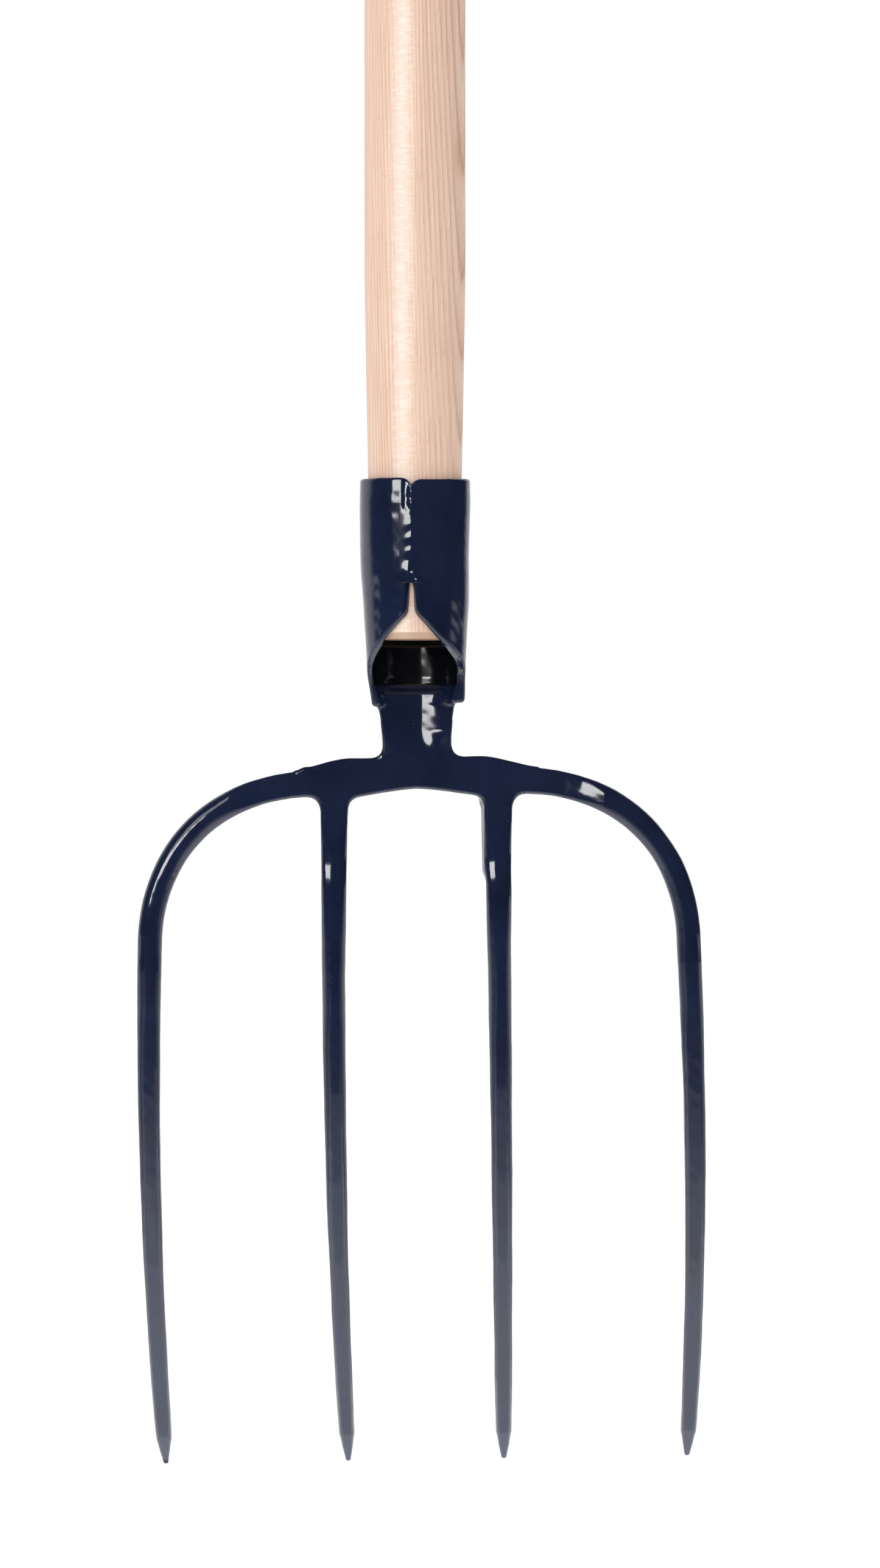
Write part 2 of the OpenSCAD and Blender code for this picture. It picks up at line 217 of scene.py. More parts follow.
def lip_gap(turn, rho, depth):
    """Distance past the nearer lip, into the slit or the mouth."""
    left = lip_angle(lip_left, depth)
    right = lip_angle(lip_right, depth)
    left_run = (lip_angle(lip_left, depth + lip_step) - left) / lip_step * rho
    right_run = (lip_angle(lip_right, depth + lip_step) - right) / lip_step * rho
    bevel = lip_bevel * np.clip(rho - wood_r(depth), 0, bevel_reach)
    to_left = ((turn + left) * rho + bevel) / np.hypot(1, left_run)
    to_right = ((right - turn) * rho + bevel) / np.hypot(1, right_run)
    return np.minimum(to_left, to_right)


# Ends of the socket, the seam and the screw's hole. A notch bump has its height and its width.
seam_turn = math.radians(-4.2)
notch_bumps = [(1.4, 1.9), (0.8, 0.7)]
rim_left = 0.45
rim_right = 0.95
rim_step_w = 3
rim_round = 1.1
end_depth = 84.8
end_slope = 0.045
end_round = 1.4
toe_depth = 0.32
toe_side = -1.9
toe_w = 1.3
toe_end = 14
toe_fade = 4
screw_gap = 0.1
screw_sink = 1.0
screw_edge_r = 0.25


def weld_toe(across, depth):
    """Shallow groove beside the top of the weld."""
    return toe_depth * bump((across - toe_side) / toe_w) * smooth((toe_end - depth) / toe_fade)


def socket_form(p):
    x, y, z = p.T
    depth = rim_z - z
    rho = np.hypot(x, y)
    turn = np.arctan2(x, -y)
    across = (turn - seam_turn) * rho
    outer = np.hypot(x - socket_drift(depth), y) - outer_r(depth)
    inner = wood_r(np.minimum(depth, bore_taper_end)) + wood_gap - runs(depth, bore_runs) - rho
    gap = lip_gap(turn, rho, depth)
    burr = burr_h * bump((gap + burr_in) / burr_w) * bump((depth - burr_depth) / burr_len)
    outer = outer - burr + weld_toe(across, depth)
    screw_hole = np.maximum(np.hypot(x, z - screw_z) - screw_r - screw_gap, screw_y - screw_sink - y)
    shell = np.maximum(round_max(outer, -screw_hole, screw_edge_r), inner)
    notch = sum(height * bump(across / width) for height, width in notch_bumps)
    back = np.maximum(np.cos(turn), 0)
    rim = back * mix(rim_left, rim_right, smooth(across / rim_step_w + 0.5)) + notch
    shell = round_max(shell, rim - depth, rim_round)
    shell = round_max(shell, depth - (end_depth - end_slope * x), end_round)
    opening = -round_max(-gap, slit_top - depth, slit_round)
    lip_r = mix(slit_lip_r, mouth_lip_r, ease(depth, lip_change, lip_change_len))
    return round_max(shell, opening, lip_r)


# Head below the socket: a plate in its own leaned plane, with coordinates u across and v up
head_lean = math.radians(0.9)
yoke_drop = 28.9
FAR = 20.0
REACH = 10.0


def to_plane(p):
    x, y, z = p.T
    down = z - socket_z
    u = x * math.cos(head_lean) + down * math.sin(head_lean)
    v = yoke_drop - x * math.sin(head_lean) + down * math.cos(head_lean)
    return u, v, y


# Tines: lines in the plate's plane, with a width along them
root_len = 34
tine_drop = 264
tine_w = 9.2
tip_w = 6.15
width_fall = 1.4
point_len = 10.5
point_w = 1.7
point_curve = 0.9
tip_v = -tine_drop + point_w / 2
RUN = 46
ARCH = 30


def tine_width(v):
    """Width of a tine at a height, with its point."""
    q = np.clip((-v - root_len) / (tine_drop - point_len - root_len), 0, 1)
    to_end = np.clip((v + tine_drop) / point_len, 0, 1) ** point_curve
    return mix(tine_w, tip_w, q ** width_fall) * mix(point_w / tip_w, 1, to_end)


def bezier(points, count):
    a, b, c, d = (np.array(q, float) for q in points)
    t = np.linspace(0, 1, count)[:, None]
    s = 1 - t
    return s ** 3 * a + 3 * s * s * t * b + 3 * s * t * t * c + t ** 3 * d


def bowed(root, point, bow, count):
    """Run of a tine from its root to its point, with a sideways bow at its middle."""
    root, point = np.array(root, float), np.array(point, float)
    push = np.array([bow * 4 / 3, 0])
    return bezier((root, mix(root, point, 1 / 3) + push, mix(root, point, 2 / 3) + push, point), count)


# Starts of an inner tine inside the yoke: height, share of the way to the tine's own place, width
root_x = 30.9
root_starts = [(-5.0, 0.0, 11.0), (-18.0, 0.6, 10.2)]
root_w = 9.6
ROOT_EASE = 6


def inner_line(side, root_u, point_u, bow):
    run = bowed((root_u, -root_len), (point_u, tip_v), bow, RUN)
    start = np.array([[mix(side * root_x, root_u, share), height] for height, share, wide in root_starts])
    line = np.vstack([start, run])
    width = tine_width(line[:, 1])
    first = len(root_starts)
    width[:first] = [wide for height, share, wide in root_starts]
    eased = slice(first, first + ROOT_EASE)
    width[eased] = mix(root_w, width[eased], smooth(np.arange(ROOT_EASE) / ROOT_EASE))
    return line, width / 2


# Arch of an outer tine: it leaves the yoke at a slope and turns down
arch_h = 60
arm_u = 43.5
arm_v = -1.1
arm_slope = math.radians(4.7)
arm_w = 9.9
lead_share = 0.745
tail_share = 0.405
overlap_share = 0.16


def outer_line(side, end_u, point_u, bow):
    run = bowed((end_u, -arch_h), (point_u, tip_v), bow, RUN)
    start = np.array([side * arm_u, arm_v])
    way = np.array([side * math.cos(arm_slope), -math.sin(arm_slope)])
    lead = abs(end_u - start[0]) * lead_share * way
    first = run[1] - run[0]
    tail = arch_h * tail_share * first / np.linalg.norm(first)
    arch = bezier((start, start + lead, run[0] - tail, run[0]), ARCH)
    line = np.vstack([start - lead * overlap_share, arch[:-1], run])
    width = tine_width(line[:, 1])
    width[:ARCH] = np.linspace(arm_w, width[ARCH], ARCH)
    return line, width / 2


tine_lines = {
    "outer_left_tine": outer_line(side=-1, end_u=-101.8, point_u=-101.6, bow=-1.9),
    "inner_left_tine": inner_line(side=-1, root_u=-31.7, point_u=-30.8, bow=-1.6),
    "inner_right_tine": inner_line(side=1, root_u=30.5, point_u=29.6, bow=0.1),
    "outer_right_tine": outer_line(side=1, end_u=101.9, point_u=100.7, bow=2.4),
}


def line_form(u, v, line, half):
    """Distance in the plate's plane to a band along a line."""
    result = np.full(len(u), FAR)
    low, high = line.min(0) - REACH, line.max(0) + REACH
    near = (u > low[0]) & (u < high[0]) & (v > low[1]) & (v < high[1])
    un, vn = u[near], v[near]
    best = np.full(len(un), np.inf)
    for k in range(len(line) - 1):
        a, run = line[k], line[k + 1] - line[k]
        t = np.clip(((un - a[0]) * run[0] + (vn - a[1]) * run[1]) / (run @ run), 0, 1)
        gap = np.hypot(un - a[0] - t * run[0], vn - a[1] - t * run[1])
        best = np.minimum(best, gap - mix(half[k], half[k + 1], t))
    result[near] = best
    return result


# Outline of the neck and the yoke's bar
neck_half = 13.1
neck_u = 0.4
neck_top = 37.5
waist_flare = 0.5
waist_v = 14
waist_len = 8
top_flare = 0.7
top_v = 22
top_len = 6
bar_top = 8.4
bar_fall = 5.2
bar_fall_start = 24
bar_fall_len = 28
bar_half = 46
bar_under = 3.4
bow_h = 3.7
bow_half = 25
bow_power = 1.3
arm_under = 5.8
nick_h = 0.6
nick_u = -42.5
nick_w = 2
inner_fillet = 4.0
outer_fillet = 6.5
fillet_lead = 2
fillet_len = 4
neck_fillet = 5.0
arm_fillet = 1.0
join_fillet = 2.0


def neck_side(v):
    """Half width of the neck at a height."""
    return neck_half + waist_flare * ease(v, waist_v, waist_len) + top_flare * ease(v, top_v, top_len)


def outline_form(u, v):
    a = np.abs(u)
    top = bar_top - bar_fall * ease(a, bar_fall_start, bar_fall_len) + nick_h * bump((u - nick_u) / nick_w)
    under = np.where(a < root_x, -bar_under - bow_h * (a / bow_half) ** bow_power, -arm_under)
    plate = np.maximum(np.maximum(v - top, under - v), a - bar_half)
    fillet = mix(inner_fillet, outer_fillet, smooth((a - root_x + fillet_lead) / fillet_len))
    for name in ("inner_left_tine", "inner_right_tine"):
        plate = soft_min(plate, line_form(u, v, *tine_lines[name]), fillet)
    neck = np.maximum(np.abs(u - neck_u) - neck_side(v), np.maximum(v - neck_top, -v))
    plate = soft_min(plate, neck, neck_fillet)
    for name in ("outer_left_tine", "outer_right_tine"):
        plate = soft_min(plate, line_form(u, v, *tine_lines[name]), arm_fillet)
    return plate


# Neck's trough: it leaves the socket's bore, and its hollow sides fade into the yoke's flat front
face_in = 1.1
front = plate_half - face_in
trough_top = 15.85
trough_low = 11.9
trough_ramp = 76.4
trough_ramp_len = 4.8
trough_start = 81
trough_fall = 0.55
trough_fall_len = 14
run_out_start = 94.5
run_out_len = 10
side_h = 14
side_len = 24
side_most = 0.999
hollow_r = 12.7
hollow_u = 0.8
hollow_end = 95
hollow_fade = 10


def trough_y(depth):
    """Place of the trough's floor along Y."""
    fall = trough_fall * np.clip((depth - trough_start) / trough_fall_len, 0, 1)
    floor = mix(trough_top, trough_low, ease(depth, trough_ramp, trough_ramp_len)) - fall
    return mix(floor, plate_y - front, soft_ramp((depth - run_out_start) / run_out_len, 1))


def trough_sides(u, depth):
    """Rise of the sides above the trough's floor, and its slope."""
    most = side_h * (1 - np.clip((depth - trough_start) / side_len, 0, side_most))
    curve = (1 - ease(depth, hollow_end, hollow_fade)) / hollow_r
    off = u - hollow_u
    fade = np.exp(-curve * off * off / 2 / most)
    return most * (1 - fade), curve * off * fade


# Near face of the arms and the tine roots: they swell out of the flat front
arm_start = 56
arm_len = 15
arm_straight = 3
root_rise = 30
root_rise_len = 10
root_swell = -0.3
left_swell = 1.2
right_swell = 2.0
swell_end = 46
swell_fade = 70
fuller_depth = 0.8
fuller_u = 51
fuller_w = 6
twist = 0.065
twist_reach = 5
twist_u = 65
twist_w = 9
arm_middle = tine_lines["outer_right_tine"][0][:ARCH].T


def near_face(u, v, depth, half, arm, as_tine):
    """Distance of the near face from the plate's middle."""
    swell = mix(root_swell, mix(left_swell, right_swell, u > 0), arm) * (1 - ease(-v, swell_end, swell_fade))
    flat = np.where(v > 0, plate_y - trough_y(depth), front) - fuller_depth * bump((u - fuller_u) / fuller_w)
    over = np.clip(v - np.interp(u, *arm_middle), -twist_reach, twist_reach)
    return mix(flat, half + swell, as_tine) - twist * over * bump((u - twist_u) / twist_w)


# Far face: round behind the neck, flat behind the yoke
far_r = 18.44
far_len = 16
far_power = 1.5
recess_h = 0.5
recess_start = 82
recess_len = 6


def bent(across, depth, curve):
    """Distance to a surface that is bent round the plate's height with a curvature."""
    ring = np.hypot(curve * across, 1 + curve * depth)
    return (curve * across ** 2 + 2 * depth + curve * depth ** 2) / (ring + 1)


def far_form(u, depth, level):
    curve = np.clip(1 - (depth - socket_len) / far_len, 0, 1) ** far_power / far_r
    recess = recess_h * (1 - ease(depth, recess_start, recess_len))
    return bent(u, level + recess, curve)


# Edges and crowns: square on the yoke, crowned at the roots, round on the arches
plate_edge_r = 1.6
flat_share = 0.38
round_share = 0.96
tip_share = 0.6
tip_start = 84
tip_len = 30
below_round = 0.8
below_v = -80
below_w = 26
arch_start = 60
arch_len = 18
arch_low = -90
arch_fade = 30
crown_start = 16
crown_len = 14
root_crown = 1 / 16
arm_crown = 1 / 64


def edge_share(v, arch):
    """Share of a tine's half width that its rounded edge takes."""
    share = mix(flat_share, round_share, np.maximum(arch, below_round * bump((v - below_v) / below_w)))
    return mix(share, tip_share, ease(-v, tip_start, tip_len) * (1 - arch))


# Drafted side of the right root, between the bar and the tine
draft = 0.19
draft_left = 17
draft_right = 31
draft_ease = 3
draft_top = 6
draft_top_len = 4
draft_low = -40
draft_low_len = 6
draft_reach = 10


def draft_strip(u, v):
    """One on the drafted side, and none away from it."""
    sides = smooth((draft_right - u) / draft_ease) * ease(u, draft_left, draft_ease)
    return sides * ease(-v, draft_top, draft_top_len) * ease(v, draft_low, draft_low_len)


# Bend of the tines, and their thickness as a share of their width
dish_r = 502.5
tilt_most = 0.9
tine_oval = 1.02
oval_lead = 4
oval_len = 12
open_y = 1.0


def head_form(p):
    u, v, y = to_plane(p)
    depth = socket_len + yoke_drop - v
    outline = outline_form(u, v)
    tilt = np.arcsin(np.clip((-v - root_len) / dish_r, 0, tilt_most))
    dish = dish_r * (1 - np.cos(tilt))
    lift = (y - plate_y - dish) * np.cos(tilt)
    own = tine_width(v) / 2
    half = mix(plate_half, own * tine_oval, smooth((-v - root_len + oval_lead) / oval_len))
    arm = soft_ramp((np.abs(u) - arm_start) / arm_len, arm_straight)
    as_tine = np.maximum(ease(-v, root_rise, root_rise_len), arm)
    arch = ease(np.abs(u), arch_start, arch_len) * ease(v, arch_low, arch_fade)
    ridge = np.maximum(ease(-v, crown_start, crown_len), arm)
    crown = np.clip(own + outline, 0, own) ** 2 * ridge * (1 - arch) * mix(root_crown, arm_crown, arm)
    near_half = near_face(u, v, depth, half, arm, as_tine)
    raised, raised_slope = trough_sides(u, depth)
    near = -(lift + near_half + raised - crown) / np.hypot(1, raised_slope)
    far = far_form(u, depth, lift - half)
    edge_r = mix(plate_edge_r, own * edge_share(v, arch), as_tine)
    outline = outline - draft * draft_strip(u, v) * np.clip(lift + near_half, 0, draft_reach)
    return round_max(outline, np.maximum(np.maximum(far, near), open_y - y), edge_r)


def forged_form(p):
    """Distance to the whole forged head."""
    form = np.full(len(p), FAR)
    v = to_plane(p)[1]
    upper = p[:, Z] > socket_z - REACH
    form[upper] = socket_form(p[upper])
    lower = v < neck_top + REACH
    form[lower] = soft_min(form[lower], head_form(p[lower]), join_fillet)
    return form - uneven(p)


# Weld bead: lumps run along the seam, feathered into the socket's surface.
# Each lump has its depth, its place across the seam, its length, its width and its height.
WELD_LUMPS = [
    (5.8, 0.3, 2.0, 1.5, 0.74),
    (10.0, 0.3, 1.5, 1.4, 0.62),
    (18.4, 0.4, 4.6, 2.4, 0.60),
    (23.6, 0.3, 2.4, 2.2, 0.42),
    (28.0, 0.2, 2.8, 2.2, 0.48),
    (36.4, -1.0, 4.2, 2.1, 0.60),
    (36.0, 1.0, 1.2, 0.9, 0.50),
    (38.9, 2.3, 1.3, 1.0, 0.60),
]
bead_ripple = 0.06
ripple_down = 1.2
ripple_across = 0.9
bead_sink = 0.08
bead_half = 4.5
bead_in = 1.2
bead_top = 3.0
bead_past = 1.6


def bead_form(p):
    x, y, z = p.T
    depth = rim_z - z
    rho = np.hypot(x - socket_drift(depth), y)
    turn = np.arctan2(x - socket_drift(depth), -y)
    across = (turn - seam_turn) * rho
    lift = 0.0
    for at, side, long, wide, high in WELD_LUMPS:
        lift = lift + high * bump((depth - at) / long) * bump((across - side) / wide)
    lift = lift * (1 + bead_ripple * np.sin(ripple_down * depth + ripple_across * across))
    skin = rho - outer_r(depth) - lift + bead_sink + weld_toe(across, depth)
    web = np.maximum(np.abs(across) - bead_half, wood_r(depth) + bead_in - rho)
    level = np.maximum(bead_top - depth, depth - slit_top - bead_past)
    return np.maximum(np.maximum(skin, web), level)


# Mesher: a grid cell that the surface crosses gets a point, and each crossed edge gets a face
BLOCK = 8
BATCH = 400
block_slack = 1.25
block_margin = 1.0
CELL_RING = ((-1, -1), (0, -1), (0, 0), (-1, 0))
CORNERS = np.array([(1, -1, -1), (-1, -1, 1), (-1, 1, -1), (1, 1, 1)], float)
slope_step = 0.02
SETTLE = 4
least_slope = 0.25
most_move = 0.6
evening = 0.5


def field(form, low, high, cell):
    """The form's values on a grid, worked out only in the blocks near its surface."""
    counts = np.ceil((high - low) / (cell * BLOCK)).astype(int)
    index = np.stack(np.meshgrid(*[np.arange(n) for n in counts], indexing="ij"), -1).reshape(-1, 3)
    value = form(low + (index + 0.5) * (cell * BLOCK))
    grid = np.full(counts * BLOCK + 1, FAR, np.float32)
    corner = np.stack(np.meshgrid(*[np.arange(BLOCK + 1)] * 3, indexing="ij"), -1).reshape(-1, 3)
    reach = cell * BLOCK * math.sqrt(3) / 2 * block_slack + block_margin
    for i, j, k in index[value < -reach] * BLOCK:
        grid[i:i + BLOCK + 1, j:j + BLOCK + 1, k:k + BLOCK + 1] = -FAR
    close = index[np.abs(value) <= reach]
    for first in range(0, len(close), BATCH):
        part = (close[first:first + BATCH, None, :] * BLOCK + corner).reshape(-1, 3)
        grid[tuple(part.T)] = form(low + part * cell)
    return grid


def crossings(grid, axis):
    """Grid edges along an axis that the surface crosses: their cells, places and turn."""
    inside = grid < 0
    before = [slice(None)] * 3
    after = [slice(None)] * 3
    before[axis] = slice(None, -1)
    after[axis] = slice(1, None)
    at = np.argwhere(inside[tuple(before)] != inside[tuple(after)])
    there = at.copy()
    there[:, axis] += 1
    f0, f1 = grid[tuple(at.T)], grid[tuple(there.T)]
    place = at.astype(float)
    place[:, axis] += f0 / (f0 - f1)
    return at, place, f0 > f1


def surface(form, low, high, cell):
    """Points and faces of a form's surface inside a box."""
    low, high = np.array(low, float), np.array(high, float)
    grid = field(form, low, high, cell)
    shape = grid.shape
    strides = np.array([shape[1] * shape[2], shape[2], 1])
    owners, places, quads = [], [], []
    for axis in range(3):
        at, place, turned = crossings(grid, axis)
        one, two = (axis + 1) % 3, (axis + 2) % 3
        ring = []
        for d1, d2 in CELL_RING:
            cells = at.copy()
            cells[:, one] += d1
            cells[:, two] += d2
            ring.append(cells @ strides)
            owners.append(ring[-1])
            places.append(place)
        ring = np.stack(ring, 1)
        ring[turned] = ring[turned][:, ::-1]
        quads.append(ring)
    owners, places, quads = np.concatenate(owners), np.concatenate(places), np.concatenate(quads)
    cells, which = np.unique(owners, return_inverse=True)
    count = np.bincount(which)
    points = np.stack([np.bincount(which, places[:, k]) / count for k in range(3)], 1)
    return low + points * cell, np.searchsorted(cells, quads)


def slope_of(form, p):
    return sum(c * form(p + slope_step * c)[:, None] for c in CORNERS) / (len(CORNERS) * slope_step)


def normals_of(form, points):
    normals = slope_of(form, points)
    return normals / np.linalg.norm(normals, axis=1)[:, None]


def settle(form, p, quads):
    """Moves points onto the surface, evened out between the moves."""
    ends = np.concatenate([quads[:, [0, 1]], quads[:, [1, 2]], quads[:, [2, 3]], quads[:, [3, 0]]])
    degree = np.bincount(ends[:, 0], minlength=len(p)) + np.bincount(ends[:, 1], minlength=len(p))
    for k in range(SETTLE):
        g = slope_of(form, p)
        move = form(p)[:, None] * g / np.maximum((g * g).sum(1), least_slope)[:, None]
        p = p - np.clip(move, -most_move, most_move)
        if k < SETTLE - 1:
            mean = np.zeros_like(p)
            for axis in range(3):
                mean[:, axis] = np.bincount(ends[:, 0], p[ends[:, 1], axis], len(p))
                mean[:, axis] += np.bincount(ends[:, 1], p[ends[:, 0], axis], len(p))
            drift = mean / degree[:, None] - p
            n = g / np.linalg.norm(g, axis=1)[:, None]
            p = p + evening * (drift - (drift * n).sum(1)[:, None] * n)
    return p


def form_mesh(form, low, high, cell):
    points, quads = surface(form, low, high, cell)
    return settle(form, points, quads), quads


def piece(name, points, faces, slot, *nodes):
    """A new piece of the object, from points in millimetres."""
    mesh = bpy.data.meshes.new(name)
    mesh.from_pydata((points * MM).tolist(), [], [list(map(int, f)) for f in faces])
    mesh.validate()
    mesh.shade_smooth()
    obj = bpy.data.objects.new(name, mesh)
    bpy.context.scene.collection.objects.link(obj)
    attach(obj, "root")
    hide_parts(*nodes)
    return obj


# Divisions of the head, where the CAD has them: each is a place and a way in the plate's plane
CELL = 0.55
MARGIN = 4
neck_end = 12.9
arm_share = 0.1
inner_reach = 50
arm_reach = 70
CUT_REACH = 26.0
cut_near = 3
cut_merge = 0.01
head_nodes = ["socket", "neck", "yoke", *tine_lines]
head_low = np.array([min(edge(n, LOW, k) for n in head_nodes) for k in range(3)]) - MARGIN
head_high = np.array([max(edge(n, HIGH, k) for n in head_nodes) for k in range(3)]) + MARGIN


def from_plane(u, v):
    """A place in the plate's plane, in the part's frame."""
    c, s = math.cos(head_lean), math.sin(head_lean)
    down = v - yoke_drop
    return np.array([c * u - s * down, plate_y, socket_z + s * u + c * down])


def arm_cut(name):
    """Place and way of an arm's end."""
    arch = tine_lines[name][0][1:ARCH + 1]
    at = arm_share * (ARCH - 1)
    k = int(at)
    way = arch[k + 1] - arch[k]
    return mix(arch[k], arch[k + 1], at - k), way / np.linalg.norm(way)


def head_cuts():
    cuts = [(np.array([0, plate_y, socket_z]), np.array([0, 0, -1.0]))]
    flat = [(np.array([0, neck_end]), np.array([0, -1.0]))]
    for name in ("inner_left_tine", "inner_right_tine"):
        flat.append((tine_lines[name][0][len(root_starts)], np.array([0, -1.0])))
    for name in ("outer_left_tine", "outer_right_tine"):
        flat.append(arm_cut(name))
    for place, way in flat:
        cuts.append((from_plane(*place), from_plane(*(place + way)) - from_plane(*place)))
    return cuts


def node_of(centre):
    """Name of the node that each place of the head belongs to."""
    u, v = to_plane(centre)[:2]
    names = np.full(len(centre), "yoke", dtype=object)
    names[v > neck_end] = "neck"
    names[centre[:, Z] > socket_z] = "socket"
    for name in tine_lines:
        side = u < 0 if "left" in name else u > 0
        if "inner" in name:
            names[side & (np.abs(u) < inner_reach) & (v < -root_len)] = name
        else:
            place, way = arm_cut(name)
            past = (u - place[0]) * way[0] + (v - place[1]) * way[1] > 0
            names[side & (np.abs(u) > inner_reach) & (past | (np.abs(u) > arm_reach))] = name
    return names


def cut_mesh(points, quads, cuts):
    """The mesh with an edge along each division."""
    bm = bmesh.new()
    verts = [bm.verts.new(p) for p in points.tolist()]
    for quad in quads.tolist():
        bm.faces.new([verts[k] for k in quad])
    for place, way in cuts:
        bm.faces.ensure_lookup_table()
        off = np.array([f.verts[0].co for f in bm.faces]) - place
        near = (np.abs(off @ way) < cut_near) & (np.linalg.norm(off, axis=1) < CUT_REACH)
        faces = [bm.faces[k] for k in np.flatnonzero(near)]
        parts = set(faces)
        for f in faces:
            parts.update(f.edges)
            parts.update(f.verts)
        bmesh.ops.bisect_plane(bm, geom=list(parts), dist=cut_merge, plane_co=place, plane_no=way)
    bm.verts.index_update()
    points = np.array([v.co for v in bm.verts])
    faces = [[v.index for v in f.verts] for f in bm.faces]
    bm.free()
    return points, faces


def open_loops(faces):
    """Closed runs of the edges that have a face on one side only, against the faces' turn."""
    sides = Counter(side for f in faces for side in zip(f, f[1:] + f[:1]))
    follow = {}
    for (a, b), count in sides.items():
        for spare in range(count - sides.get((b, a), 0)):
            follow.setdefault(b, []).append(a)
    loops = []
    while follow:
        first = at = next(iter(follow))
        loop = []
        while True:
            loop.append(at)
            after = follow[at].pop()
            if not follow[at]:
                del follow[at]
            at = after
            if at == first:
                break
        loops.append(loop)
    return loops


def head_pieces():
    """The head's pieces, each closed where it meets its neighbour."""
    points, quads = form_mesh(forged_form, head_low, head_high, CELL)
    points, faces = cut_mesh(points, quads, head_cuts())
    normals = normals_of(forged_form, points)
    names = node_of(np.array([points[f].mean(0) for f in faces]))
    made = []
    for name in head_nodes:
        own = [faces[k] for k in np.flatnonzero(names == name)]
        caps = open_loops(own)
        used = np.unique(np.concatenate([np.array(f) for f in own]))
        place = dict(zip(used.tolist(), range(len(used))))
        loop_normals = [normals[k] for f in own for k in f]
        for cap in caps:
            ring = points[cap]
            way = np.cross(ring, np.roll(ring, -1, 0)).sum(0)
            loop_normals += [way / np.linalg.norm(way)] * len(cap)
        new_faces = [[place[k] for k in f] for f in own + caps]
        obj = piece("forged_" + name, points[used], new_faces, "navy_paint", name)
        obj.data.normals_split_custom_set(np.array(loop_normals).tolist())
        made.append(obj)
    return made


# Box round the weld bead
bead_x = (-8, 6)
bead_y = (-26, -15)
bead_room = 3
bead_z = (rim_z - slit_top - MARGIN, rim_z + bead_room)
bead_low, bead_high = np.array([bead_x, bead_y, bead_z]).T


def bead_piece():
    points, quads = form_mesh(bead_form, bead_low, bead_high, CELL / 2)
    obj = piece("weld_bead", points, quads, "navy_paint", "seam_weld")
    obj.data.normals_split_custom_set_from_vertices(normals_of(bead_form, points).tolist())
    return obj


# Handle: turned round its axis, with a chamfered end in the socket and a rounded butt
TURNS = 128
SHAFT_RINGS = 60
BUTT_RINGS = 10
taper_step = 6.0
chamfer = 2.3
chamfer_in = 0.05
butt_round = 9.0
plane_mark = 0.0025
plane_turn = 160
plane_long = 47
sharp_turn = math.radians(25)


def handle_profile():
    """Radii and heights of the handle, from its end in the socket to its butt."""
    end_r = wood_r(rim_z - handle_low)
    profile = [(0.0, handle_low), (end_r - chamfer, handle_low), (end_r - chamfer_in, handle_low + chamfer)]
    for z in np.arange(handle_low + taper_step, 0, taper_step):
        profile.append((wood_r(rim_z - z), z))
    for z in np.linspace(0, butt_z - butt_round, SHAFT_RINGS):
        profile.append((handle_r, z))
    for a in np.linspace(0, math.pi / 2, BUTT_RINGS)[1:]:
        r = handle_r - butt_round * (1 - math.cos(a))
        profile.append((r, butt_z - butt_round * (1 - math.sin(a))))
    return profile + [(0.0, butt_z)]


def handle_piece():
    points, faces, rings = [], [], []
    for r, z in handle_profile():
        if r == 0:
            rings.append([len(points)])
            points.append((0, 0, z))
            continue
        rings.append(list(range(len(points), len(points) + TURNS)))
        for k in range(TURNS):
            a = 2 * math.pi * k / TURNS
            wave = 1 - plane_mark * (1 + math.sin(2 * a + z / plane_turn) * math.sin(z / plane_long + a))
            points.append((r * wave * math.cos(a), r * wave * math.sin(a), z))
    for low, high in zip(rings, rings[1:]):
        for k in range(TURNS):
            m = (k + 1) % TURNS
            corners = [low[k % len(low)], low[m % len(low)], high[m % len(high)], high[k % len(high)]]
            faces.append(list(dict.fromkeys(corners)))
    obj = piece("ash_handle", np.array(points), faces, "ash_wood", "handle")
    obj.data.set_sharp_from_angle(angle=sharp_turn)
    return obj


forged_head = head_pieces()
weld_bead = bead_piece()
ash_handle = handle_piece()


# Material helpers. A noise mostly lies between the low and the high value.
NOISE_LOW, NOISE_HIGH = 0.3, 0.7


def new_material(name):
    material = bpy.data.materials.new(name)
    material.use_nodes = True
    tree = material.node_tree
    return material, tree, tree.nodes["Principled BSDF"]


def node(tree, kind, **values):
    made = tree.nodes.new(kind)
    for key, value in values.items():
        setattr(made, key, value)
    return made


def feed(tree, socket, value):
    """A number, a colour or another node's output goes into a socket."""
    if isinstance(value, (int, float)):
        socket.default_value = value
    elif isinstance(value, tuple):
        socket.default_value = (*value, 1.0)
    else:
        tree.links.new(value, socket)


def math_node(tree, operation, a, b=0.0, c=0.0):
    made = node(tree, "ShaderNodeMath", operation=operation)
    for socket, value in zip(made.inputs, (a, b, c)):
        feed(tree, socket, value)
    return made.outputs[0]


def times(tree, a, b):
    return math_node(tree, "MULTIPLY", a, b)


def split(tree, vector):
    made = node(tree, "ShaderNodeSeparateXYZ")
    tree.links.new(vector, made.inputs["Vector"])
    return made.outputs


def mapped(tree, scale=(1, 1, 1), turn=(0, 0, 0)):
    """The object's own coordinates, scaled."""
    place = node(tree, "ShaderNodeTexCoord")
    made = node(tree, "ShaderNodeMapping")
    made.inputs["Scale"].default_value = scale
    made.inputs["Rotation"].default_value = turn
    tree.links.new(place.outputs["Object"], made.inputs["Vector"])
    return made.outputs["Vector"]


def noise(tree, vector, scale=1.0, detail=2.0):
    made = node(tree, "ShaderNodeTexNoise")
    made.inputs["Scale"].default_value = scale
    made.inputs["Detail"].default_value = detail
    tree.links.new(vector, made.inputs["Vector"])
    return made.outputs["Fac"]


